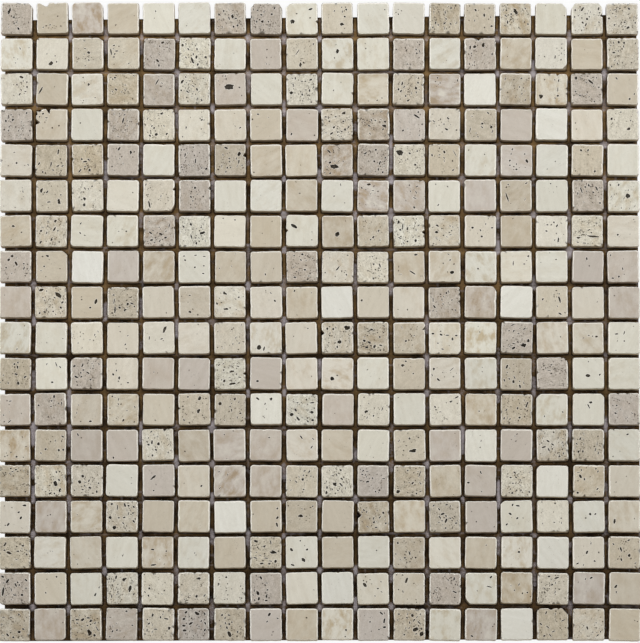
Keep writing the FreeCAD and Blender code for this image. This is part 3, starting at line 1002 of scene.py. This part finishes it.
class GridLines:
    """The film's grid lines across one axis: seven that hug each joint, and plain ones under the tiles."""

    def __init__(self, tiles, axis, low, high):
        self.places = [low]
        self.in_joint = []
        self.joint_middles = []
        self.rules = {}
        for before, after in joint_edges(tiles, axis):
            edges = (before[1].mean(), (before[1].mean() + after[1].mean()) / 2, after[1].mean())
            self.joint_middles.append(edges[1])
            self.add_run(edges[0] + STRIP[0][1])
            for step, (edge, offset) in enumerate(STRIP):
                if step:
                    self.in_joint.append(True)
                    self.places.append(edges[edge] + offset)
                self.rules[len(self.places) - 1] = (before, after, edge, offset)
        self.add_run(high)
        self.beside_joint = np.zeros(len(self.places), bool)
        self.beside_joint[:-1] |= self.in_joint
        self.beside_joint[1:] |= self.in_joint

    def add_run(self, end):
        """Evenly spaced lines up to a place, under tiles."""
        start = self.places[-1]
        steps = max(1, round((end - start) / RUN_STEP))
        self.places.extend(start + (end - start) * (k + 1) / steps for k in range(steps))
        self.in_joint.extend([False] * steps)

    def bent(self, line, along, edges):
        """A line's place at a point along it, where the film's two edges are given.

        It hugs the tiles beside its joint. Outside the outermost joints it follows the film's edge.
        """
        if line not in self.rules:
            last = len(self.places) - 1
            for near, end, edge in ((min(self.rules), 0, edges[0]), (max(self.rules), last, edges[1])):
                if abs(line - end) <= abs(near - end):
                    share = (self.places[line] - self.places[near]) / (self.places[end] - self.places[near])
                    return self.places[near] + share * (edge - self.places[near])
            return self.places[line]
        before, after, edge, offset = self.rules[line]
        low = np.interp(along, *before)
        high = np.interp(along, *after)
        return (low, (low + high) / 2, high)[edge] + offset

    def runs(self):
        """The stretches under tiles, each as its first and last line."""
        starts = [k for k, joint in enumerate(self.in_joint) if not joint and (k == 0 or self.in_joint[k - 1])]
        ends = [k + 1 for k, joint in enumerate(self.in_joint)
                if not joint and (k + 1 == len(self.in_joint) or self.in_joint[k + 1])]
        return list(zip(starts, ends))


def clear_of_tiles(points, tiles):
    """How far each plan point lies outside the nearest tile's foot, and below 0 under a tile."""
    least = np.full(len(points), TILE_SIDE)
    for tile in tiles:
        away = points - tile.middle
        near = np.flatnonzero(np.abs(away).max(axis=1) < NEAR_SHARE * TILE_SIDE)
        local = away[near] @ tile.to_frame
        distance = np.maximum(np.linalg.norm(local, axis=1), 1e-6)
        reach = tile.radii(local / distance[:, None], tile.top - tile.foot)
        least[near] = np.minimum(least[near], distance - reach)
    return least


def lumps(points, scale):
    """Smooth noise about 0 at each plan point."""
    return np.array([noise.noise((x * scale, y * scale, 0.0)) for x, y in points])


def bare_patches(draw, x_joints, y_joints):
    """Places where the net shows, as their middle line, south and north ends, half width and strength."""
    patches = []
    for x in x_joints:
        for y in y_joints:
            if draw.random() < BARE_CROSSINGS:
                north = y + BARE_LEAST_REACH + draw.exponential(BARE_REACH_NORTH)
                south = y - BARE_LEAST_REACH - draw.exponential(BARE_REACH_SOUTH)
                patches.append((x, south, north, draw.uniform(*BARE_HALF_WIDTHS), draw.uniform(*BARE_STRENGTHS)))
        for low, high in zip(y_joints, y_joints[1:]):
            if draw.random() < BARE_STRETCHES:
                middle = draw.uniform(low + STRETCH_MARGIN, high - STRETCH_MARGIN)
                reach = draw.uniform(*STRETCH_REACH)
                strength = draw.uniform(*STRETCH_STRENGTHS)
                patches.append((x, middle - reach, middle + reach, STRETCH_HALF_WIDTH, strength))
    return patches


def bareness(points, patches):
    """How bare the film is at each plan point, from 0 to 1."""
    bare = np.zeros(len(points))
    for x, south, north, half_width, strength in patches:
        off = np.maximum(np.maximum(south - points[:, 1], points[:, 1] - north), 0)
        fade = np.exp(-(off / BARE_FADE) ** 2 - ((points[:, 0] - x) / half_width) ** 4)
        bare = np.maximum(bare, strength * fade)
    return bare


def film_corners():
    """The glue film's corners from the south-west round to the north-west, and its foot and top."""
    points = np.concatenate([np.concatenate(solid) for solid in solids_of("glue_film", 0)])
    corners = [points[np.argmax(points[:, :2] @ way), :2] for way in ((-1, -1), (1, -1), (1, 1), (-1, 1))]
    return np.array(corners), points[:, 2].min(), points[:, 2].max()


def net_places(points, corners, yarn_counts):
    """Plan points in the net's own measure, in which each yarn's middle lies at a whole number."""
    south_west, south_east, _, north_west = corners
    places = []
    for end, count in ((south_east, yarn_counts[0]), (north_west, yarn_counts[1])):
        run = end - south_west
        length = np.linalg.norm(run)
        along = (points - south_west) @ run / length
        places.append((along - YARN_WIDTH / 2) / (length - YARN_WIDTH) * (count - 1))
    return np.column_stack(places)


def film_plan(x_lines, y_lines, corners):
    """The film's plan points, and their numbers by line across and line down, or -1 where none is."""
    south_west, south_east, north_east, north_west = corners
    last_x = len(x_lines.places) - 1
    last_y = len(y_lines.places) - 1
    number = np.full((last_x + 1, last_y + 1), -1)
    plan = []
    for i in range(last_x + 1):
        for j, y_place in enumerate(y_lines.places):
            on_corner = i in (0, last_x) and j in (0, last_y)
            if not (x_lines.beside_joint[i] or y_lines.beside_joint[j] or on_corner):
                continue
            edges = [np.interp(y_place, (low[1], high[1]), (low[0], high[0]))
                     for low, high in ((south_west, north_west), (south_east, north_east))]
            x = x_lines.bent(i, y_place, edges)
            edges = [np.interp(x, (low[0], high[0]), (low[1], high[1]))
                     for low, high in ((south_west, south_east), (north_west, north_east))]
            number[i, j] = len(plan)
            plan.append((x, y_lines.bent(j, x, edges)))
    return np.array(plan), number


def film_cells(x_lines, y_lines, number):
    """The faces of the film's top: small ones in the joints, and one under each tile."""
    cells = []
    for i, in_x_joint in enumerate(x_lines.in_joint):
        for j, in_y_joint in enumerate(y_lines.in_joint):
            if in_x_joint or in_y_joint:
                cells.append((number[i, j], number[i + 1, j], number[i + 1, j + 1], number[i, j + 1]))
    for west, east in x_lines.runs():
        for south, north in y_lines.runs():
            ring = (*number[west:east, south], *number[east, south:north],
                    *number[east:west:-1, north], *number[west, north:south:-1])
            cells.append(tuple(k for k in ring if k >= 0))
    return cells


def glue_film(tiles, yarn_counts, material):
    """The skin of glue, drawn up a little along the tiles, with a flat back."""
    corners, bottom, top = film_corners()
    x_ends, y_ends = ([corners[list(pair), axis].mean() for pair in pairs]
                      for axis, pairs in enumerate((((0, 3), (1, 2)), ((0, 1), (3, 2)))))
    x_lines = GridLines(tiles, 0, *x_ends)
    y_lines = GridLines(tiles, 1, *y_ends)
    plan, number = film_plan(x_lines, y_lines, corners)
    rim = [k for k in (*number[:, 0], *number[-1, 1:], *number[-2::-1, -1], *number[0, -2:0:-1]) if k >= 0]
    clear = clear_of_tiles(plan, tiles)
    rise = MENISCUS_RISE * (1 + MENISCUS_UNEVENNESS * lumps(plan, MENISCUS_SCALE))
    rise *= np.exp(-np.maximum(clear, 0) / MENISCUS_REACH)
    height = top + FILM_LUMPS * lumps(plan, FILM_LUMP_SCALE) + rise
    height[clear < -UNDER_TILE / 2] = top - FILM_SAG
    height[rim] = np.minimum(height[rim], top - FILM_SAG)

    draft = MeshDraft()
    net = np.column_stack([net_places(plan, corners, yarn_counts), clear])
    patches = bare_patches(np.random.default_rng(SEED + 1), x_lines.joint_middles, y_lines.joint_middles)
    bare = bareness(plan, patches)
    draft.add_points(np.column_stack([plan, height]), net=net, bare=bare)
    back = np.column_stack([plan[rim], np.full(len(rim), bottom)])
    back_start = draft.add_points(back, net=net[rim], bare=bare[rim])
    backs = list(range(back_start, back_start + len(rim)))
    walls = [(rim[k - 1], backs[k - 1], backs[k], rim[k]) for k in range(len(rim))]
    for faces, smooth in ((film_cells(x_lines, y_lines, number), True), (walls, True), ([backs[::-1]], False)):
        draft.add_faces([tuple(int(k) for k in face) for face in faces], smooth)
    return draft.make("glue_skin", material)


# The net

def yarn_ends(node_name, axis):
    """Each yarn's two ends in plan, in order along an axis."""
    along = 1 - axis
    ends = []
    for solid in solids_of(node_name, axis):
        points = np.concatenate(solid)
        middle = (points[:, along].min() + points[:, along].max()) / 2
        ends.append([points[points[:, along] < middle, :2].mean(axis=0),
                     points[points[:, along] > middle, :2].mean(axis=0)])
    return np.array(ends)


def add_strand(draft, path, across, half_width, half_height, sides, places):
    """A closed tube of flat-oval section along a path, with each ring square to the strand's run."""
    angles = np.arange(sides) / sides * 2 * math.pi
    ring = np.outer(np.cos(angles) * half_width, across) + np.outer(np.sin(angles) * half_height, (0, 0, 1))
    points = (path[:, None, :] + ring[None, :, :]).reshape(-1, 3)
    around = np.repeat(places, sides, axis=0)
    around[:, 2] = np.tile(np.arange(sides) / sides, len(path))
    first = draft.add_points(points, net=around)
    starts = [first + sides * k for k in range(len(path))]
    draft.add_faces(bands_between(starts, sides), True)
    draft.add_faces([tuple(range(first, first + sides))], False)
    draft.add_faces([tuple(reversed(range(starts[-1], starts[-1] + sides)))], False)


def net_yarns(name, ends, crossings, twisted, middle_height, draw, material):
    """One layer of the net. A twisted yarn is two strands that clasp each crossing yarn and swap sides."""
    draft = MeshDraft()
    for index, (start, end) in enumerate(ends):
        run = (end - start) / np.linalg.norm(end - start)
        across = np.array([run[1], -run[0], 0.0])
        steps = (crossings - 1) * 2 if twisted else (crossings - 1) // 2
        share = np.linspace(0, 1, steps + 1)
        base = start + share[:, None] * (end - start)
        drift = waver_line(draw, share, YARN_DRIFT)
        places = np.column_stack([share * (crossings - 1), np.full(steps + 1, index), np.zeros(steps + 1)])
        if twisted:
            turn = share * (crossings - 1) * math.pi
            for way in (1.0, -1.0):
                shift = drift + way * STRAND_SWING * np.cos(turn)
                lift = way * (STRAND_PASS + (STRAND_CLASP - STRAND_PASS) * np.cos(turn) ** 2)
                path = np.column_stack([base, middle_height + lift]) + shift[:, None] * across
                add_strand(draft, path, across, STRAND_HALF_WIDTH, STRAND_HALF_HEIGHT, STRAND_SIDES, places)
        else:
            path = np.column_stack([base, np.full(len(base), middle_height)]) + drift[:, None] * across
            add_strand(draft, path, across, WEFT_HALF_WIDTH, WEFT_HALF_HEIGHT, WEFT_SIDES, places)
    return draft.make(name, material)


def waver_line(draw, share, size):
    """A slow drift to and fro along an open line."""
    total = np.zeros_like(share)
    for count in range(1, DRIFT_WAVES + 1):
        total += draw.normal() * np.sin(math.pi * count * share * 2 + draw.uniform(0, 6.28))
    return size * total / DRIFT_EVENNESS


# Materials

# Their colours and tints, in linear light
BAND_TINTS = ((1.03, 1.03, 1.03, 1), (0.935, 0.925, 0.905, 1))
SPECKLE_TINTS = ((0.70, 0.69, 0.66, 1), (1.17, 1.17, 1.17, 1))
MOTTLE_TINTS = ((0.88, 0.87, 0.85, 1), (1.07, 1.07, 1.07, 1))
CLOUD_BROWN = (0.72, 0.62, 0.48, 1)
CLOUD_MILK = (0.66, 0.63, 0.54, 1)
# Pale worn stone, which also serves as a painted highlight on the arrises
WORN_AND_HIGHLIT_STONE = (0.97, 0.94, 0.86, 1)
DUST_TINT = (1.0, 0.90, 0.76, 1)
SMEARED_GLUE = (0.45, 0.34, 0.205, 1)
# The colour of fine pores: dirt and painted shade
PORE_DIRT_AND_SHADE = (0.11, 0.085, 0.055, 1)
# Dirt and painted shade in the pits, dark chips and bites
PIT_GRIME_AND_SHADE = ((0.008, 0.006, 0.004, 1), (0.050, 0.034, 0.017, 1))
# Nearly black as painted shade beside the tiles' feet, ochre where the glue is thick
GLUE_SHADE_AND_OCHRE = ((0.010, 0.005, 0.002, 1), (0.22, 0.135, 0.053, 1))
GLUE_GRAIN_TINTS = ((0.75, 0.75, 0.75, 1), (1.2, 1.2, 1.2, 1))
# Painted shade towards the south and painted light towards the north of the glue
GLUE_SOUTH_SHADE_NORTH_LIGHT = ((0.55, 0.52, 0.50, 1), (1.5, 1.5, 1.5, 1))
FIBRE_IN_GLUE = ((0.28, 0.25, 0.265, 1), (0.70, 0.65, 0.68, 1))
YARN_COLOURS = ((0.50, 0.48, 0.48, 1), (0.72, 0.70, 0.70, 1))
YARN_STAIN = (0.30, 0.20, 0.10, 1)
WHITE_PAINT = (0.8, 0.8, 0.8, 1)

# How deep their bump reaches, in metres
STONE_RELIEF = 0.4 * MM
GLUE_RELIEF = 0.4 * MM
YARN_RELIEF = 0.08 * MM


class Shader:
    """A material whose nodes are added and linked by short calls."""

    def __init__(self, name):
        self.material = bpy.data.materials.new(name)
        self.material.use_nodes = True
        self.tree = self.material.node_tree
        self.surface = self.tree.nodes["Principled BSDF"]
        self.output = self.tree.nodes["Material Output"]

    def feed(self, socket, value):
        if isinstance(value, bpy.types.NodeSocket):
            self.tree.links.new(value, socket)
        else:
            socket.default_value = value

    def node(self, kind, inputs, output=0, **settings):
        """Adds a node, sets it, feeds its inputs and gives one of its outputs."""
        made = self.tree.nodes.new("ShaderNode" + kind)
        for name, value in settings.items():
            setattr(made, name, value)
        for key, value in inputs.items():
            self.feed(made.inputs[key], value)
        return made.outputs[output]

    def attribute(self, name, output):
        return self.node("Attribute", {}, output, attribute_name=name)

    def math(self, operation, a, b=0.0):
        return self.node("Math", {0: a, 1: b}, operation=operation)

    def plus(self, a, b):
        return self.math("ADD", a, b)

    def minus(self, a, b):
        return self.math("SUBTRACT", a, b)

    def times(self, a, b):
        return self.math("MULTIPLY", a, b)

    def remap(self, value, low, high, to_low=0.0, to_high=1.0):
        return self.node("MapRange", {0: value, 1: low, 2: high, 3: to_low, 4: to_high})

    def scaled(self, vector, scale):
        return self.node("VectorMath", {0: vector, 1: scale}, operation="MULTIPLY")

    def split(self, vector):
        made = self.tree.nodes.new("ShaderNodeSeparateXYZ")
        self.feed(made.inputs[0], vector)
        return tuple(made.outputs)

    def noise(self, vector, scale, detail=2.0, roughness=0.5):
        return self.node("TexNoise", {"Vector": vector, "Scale": scale, "Detail": detail, "Roughness": roughness})

    def cells(self, vector, scale):
        """How far each place lies from the nearest of many scattered points."""
        return self.node("TexVoronoi", {"Vector": vector, "Scale": scale}, "Distance")

    def blend(self, factor, a, b, mode="MIX"):
        """Mixes two colours."""
        return self.node("Mix", {0: factor, 6: a, 7: b}, 2, data_type="RGBA", blend_type=mode)

    def tinted(self, colour, tint, share=1.0):
        """A colour times a tint, or a share of the way there."""
        return self.blend(share, colour, tint, "MULTIPLY")

    def bump(self, height, distance):
        return self.node("Bump", {"Height": height, "Distance": distance, "Strength": 1.0})

    def finish(self, **inputs):
        """Feeds the surface shader and gives the material."""
        for name, value in inputs.items():
            self.feed(self.surface.inputs[name.replace("_", " ")], value)
        return self.material


def travertine():
    """Tumbled travertine: soft clouds and bands, fine pores darkened with dirt and painted shade, pale worn arrises
    with a painted highlight, and dirt and painted shade in the pits.
    """
    s = Shader("travertine")
    stone = s.attribute("stone", "Vector")
    tone = s.attribute("tone", "Vector")
    porosity, clouds, chance = s.split(s.attribute("nature", "Vector"))
    depth, wear, dirt = (s.attribute(name, "Fac") for name in ("depth", "wear", "dirt"))

    # The stone itself
    bands = s.noise(s.scaled(stone, (0.05, 0.42, 0.42)), 1.0, 4.0, 0.6)
    cloud = s.noise(s.scaled(stone, (0.16, 0.24, 0.24)), 1.0, 4.0, 0.62)
    lumpy = s.noise(s.scaled(stone, (0.45, 0.7, 0.6)), 1.0, 2.0, 0.5)
    grain = s.noise(stone, 1.6, 4.0, 0.7)
    colour = s.tinted(tone, s.blend(s.remap(bands, 0.35, 0.68), *BAND_TINTS), 0.75)
    colour = s.tinted(colour, CLOUD_BROWN, s.times(s.remap(cloud, 0.47, 0.66), clouds))
    milk = s.times(s.remap(cloud, 0.48, 0.33), s.times(clouds, 0.6))
    colour = s.blend(milk, colour, CLOUD_MILK)
    rough = s.remap(porosity, 0.0, 0.8, 0.15, 1.0)
    colour = s.tinted(colour, s.blend(s.remap(grain, 0.3, 0.7), *SPECKLE_TINTS), rough)
    colour = s.tinted(colour, s.blend(s.remap(lumpy, 0.35, 0.65), *MOTTLE_TINTS), rough)

    # Pores that are too fine for the mesh, darkened with dirt and painted shade
    astray = s.node("TexNoise", {"Vector": stone, "Scale": 0.8}, 1)
    warped = s.node("VectorMath", {0: s.scaled(stone, (0.75, 1.25, 1.0)), 1: astray}, operation="ADD")
    pore_room = s.remap(s.noise(s.scaled(stone, (0.16, 0.34, 0.3)), 1.0, 2.0), 0.40, 0.66)
    pore_size = s.times(s.times(pore_room, s.remap(porosity, 0.0, 1.0, 0.35, 1.0)), 0.34)
    pores = s.remap(s.minus(s.cells(warped, 1.25), pore_size), -0.05, 0.03, 1.0, 0.0)

    # Wear and a painted highlight on the arrises, dust and glue on the sides, and dirt and painted shade in the
    # pores and pits
    free_of_dirt_and_shade = s.minus(1.0, dirt)
    colour = s.blend(s.times(wear, s.remap(grain, 0.25, 0.6, 0.6, 1.0)), colour, WORN_AND_HIGHLIT_STONE)
    smear = s.remap(s.plus(depth, s.times(cloud, 2.0)), 7.0, 18.0)
    side = s.blend(smear, s.tinted(colour, DUST_TINT), SMEARED_GLUE)
    colour = s.blend(s.times(s.remap(depth, 0.5, 1.1), free_of_dirt_and_shade), colour, side)
    colour = s.blend(s.times(s.times(pores, free_of_dirt_and_shade), 0.8), colour, PORE_DIRT_AND_SHADE)
    grime_and_shade = s.blend(s.math("POWER", chance, 5.0), *PIT_GRIME_AND_SHADE)
    colour = s.blend(s.times(dirt, s.remap(grain, 0.3, 0.7, 0.75, 1.0)), colour, grime_and_shade)

    height = s.minus(s.times(grain, s.times(rough, 0.6)), s.times(pores, 0.6))
    height = s.plus(height, s.times(s.noise(stone, 6.0, 2.0, 0.6), 0.04))
    roughness = s.remap(s.plus(grain, s.times(dirt, 0.4)), 0.3, 0.9, 0.56, 0.82)
    gloss = s.remap(dirt, 0.0, 0.8, 0.35, 0.0)
    normal = s.bump(height, STONE_RELIEF)
    return s.finish(Base_Color=colour, Roughness=roughness, Normal=normal, Specular_IOR_Level=gloss)


def resin_glue():
    """Brown glue, ochre where it is thick in a joint's middle and painted nearly black as shade beside the tiles'
    feet, with painted shade to the south and painted light to the north, and the net's pale yarns showing through in
    places.
    """
    s = Shader("resin_glue")
    across, along, clear = s.split(s.attribute("net", "Vector"))
    bare = s.attribute("bare", "Fac")
    plain = s.node("CombineXYZ", {0: across, 1: along})
    thick = s.noise(plain, 0.55, 3.0, 0.6)
    grain = s.noise(plain, 9.0, 3.0, 0.6)
    # Painted shade: the glue goes nearly black beside the tiles' feet, and ochre where it is thick in the joint's
    # middle
    thick_lit_core = s.times(s.remap(clear, 0.10, 0.85), s.remap(thick, 0.34, 0.66, 0.12, 1.0))
    colour = s.blend(thick_lit_core, *GLUE_SHADE_AND_OCHRE)
    colour = s.tinted(colour, s.blend(s.remap(grain, 0.3, 0.7), *GLUE_GRAIN_TINTS))
    # Painted shade towards the south, painted light towards the north
    colour = s.tinted(colour, s.blend(s.remap(along, 0.0, 60.0), *GLUE_SOUTH_SHADE_NORTH_LIGHT))

    # The net: its yarns under the film, and the patches where the film is thin
    yarns = []
    for place in (across, along):
        from_middle = s.math("ABSOLUTE", s.minus(s.math("FRACT", s.plus(place, 0.5)), 0.5))
        yarns.append(s.remap(from_middle, 0.14, 0.07))
    yarn = s.math("MAXIMUM", *yarns)
    thin = s.remap(s.noise(plain, 0.42, 3.0, 0.7), 0.52, 0.66)
    ragged = s.plus(bare, s.times(s.minus(s.noise(plain, 2.5, 4.0, 0.7), 0.5), 1.7))
    patch = s.times(s.remap(ragged, 0.15, 0.85), s.remap(clear, 0.0, 0.4, 0.3, 1.0))
    shown = s.math("MAXIMUM", s.times(s.times(yarn, thin), 0.35), patch)
    fibre = s.blend(s.noise(plain, 14.0, 2.0), *FIBRE_IN_GLUE)
    colour = s.blend(s.times(shown, 0.92), colour, fibre)

    normal = s.bump(s.plus(s.times(yarn, 0.35), s.times(grain, 0.25)), GLUE_RELIEF)
    roughness = s.remap(shown, 0.0, 1.0, 0.5, 0.8)
    return s.finish(Base_Color=colour, Roughness=roughness, Normal=normal, Specular_IOR_Level=0.06)


def glass_yarn():
    """Off-white glass fibre, combed along the yarn and stained by the glue here and there."""
    s = Shader("glass_yarn")
    along, index, around = s.split(s.attribute("net", "Vector"))
    combed = s.node("CombineXYZ", {0: s.times(along, 1.5), 1: s.times(index, 3.1), 2: s.times(around, 14.0)})
    fibres = s.noise(combed, 1.0, 3.0, 0.7)
    stain = s.noise(s.node("CombineXYZ", {0: along, 1: index}), 0.35, 3.0, 0.6)
    colour = s.blend(s.remap(stain, 0.5, 0.62), s.blend(fibres, *YARN_COLOURS), YARN_STAIN)
    return s.finish(Base_Color=colour, Roughness=0.6, Normal=s.bump(fibres, YARN_RELIEF))


def white_ground():
    """A white floor that shows itself as white to the camera and keeps some of the sheet's shadow."""
    s = Shader("white_ground")
    path = s.tree.nodes.new("ShaderNodeLightPath")
    seen = s.math("MAXIMUM", path.outputs["Is Camera Ray"],
                  s.math("MAXIMUM", path.outputs["Is Glossy Ray"], path.outputs["Is Transmission Ray"]))
    glow = s.node("Emission", {"Color": (1, 1, 1, 1), "Strength": 1.0})
    s.feed(s.surface.inputs["Base Color"], WHITE_PAINT)
    s.feed(s.surface.inputs["Roughness"], 0.9)
    mixed = s.node("MixShader", {0: s.times(seen, FLOOR_WHITENESS), 1: s.surface.outputs[0], 2: glow})
    s.feed(s.output.inputs["Surface"], mixed)
    return s.material


# Stage

def white_floor():
    mesh = bpy.data.meshes.new("floor")
    corners = [(x * FLOOR_HALF, y * FLOOR_HALF, -FLOOR_DROP) for x, y in ((-1, -1), (1, -1), (1, 1), (-1, 1))]
    mesh.from_pydata(corners, [], [(0, 1, 2, 3)])
    mesh.materials.append(white_ground())
    floor = added("floor", mesh)


def softbox(name, place, size, power, aim):
    """A rectangular lamp."""
    light = bpy.data.lights.new(name, "AREA")
    light.shape = "RECTANGLE"
    light.size, light.size_y = size
    light.energy = power
    lamp = added(name, light)
    lamp.visible_camera = False
    lamp.location = place
    lamp.rotation_euler = (Vector(aim) - Vector(place)).to_track_quat("-Z", "Y").to_euler()


def light_up():
    """Soft white light from all round, and the lamps."""
    world = bpy.data.worlds.new("studio")
    world.use_nodes = True
    background = world.node_tree.nodes["Background"]
    background.inputs["Color"].default_value = (1, 1, 1, 1)
    background.inputs["Strength"].default_value = WORLD_STRENGTH
    bpy.context.scene.world = world
    for name, settings in SOFTBOXES.items():
        softbox(name, *settings)


def camera():
    """Looks down on the sheet, from a little to the south of straight above."""
    data = bpy.data.cameras.new("camera")
    data.sensor_width = SENSOR_WIDTH
    data.lens = SENSOR_WIDTH * CAMERA_DISTANCE / FRAME_HEIGHT
    elevation = math.radians(CAMERA_ELEVATION)
    back = Vector((0, -math.cos(elevation), math.sin(elevation)))
    made = added("camera", data)
    made.location = Vector(CAMERA_TARGET) + CAMERA_DISTANCE * back
    made.rotation_euler = (-back).to_track_quat("-Z", "Y").to_euler()
    bpy.context.scene.camera = made


# The sheet

def rows_of_tiles():
    """Each row's tiles, by the name of its node."""
    names = sorted(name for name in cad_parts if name.startswith("tile_row_"))
    return {name: [Tile(row, column, solid) for column, solid in enumerate(solids_of(name, 0))]
            for row, name in enumerate(names)}


def main():
    rows = rows_of_tiles()
    tiles = [tile for row in rows.values() for tile in row]
    stone = travertine()
    for name, row in rows.items():
        draft = MeshDraft()
        for tile in row:
            add_tile(draft, tile)
        piece = draft.make(name.replace("tile_row", "tumbled_tiles"), stone)
        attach(piece, "root")
        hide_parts(name)

    draw = np.random.default_rng(SEED)
    warp = yarn_ends("net_warp_yarns", 0)
    weft = yarn_ends("net_weft_yarns", 1)
    film = glue_film(tiles, (len(warp), len(weft)), resin_glue())
    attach(film, "root")
    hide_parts("glue_film")
    yarn = glass_yarn()
    middle_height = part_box("net_warp_yarns")[1].z / MM
    for name, ends, others, twisted, node in (
        ("twisted_warp", warp, weft, True, "net_warp_yarns"),
        ("flat_weft", weft, warp, False, "net_weft_yarns"),
    ):
        piece = net_yarns(name, ends, len(others), twisted, middle_height, draw, yarn)
        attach(piece, "root")
        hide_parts(node)

    white_floor()
    light_up()
    camera()
    bpy.context.scene.view_settings.view_transform = "Standard"


main()
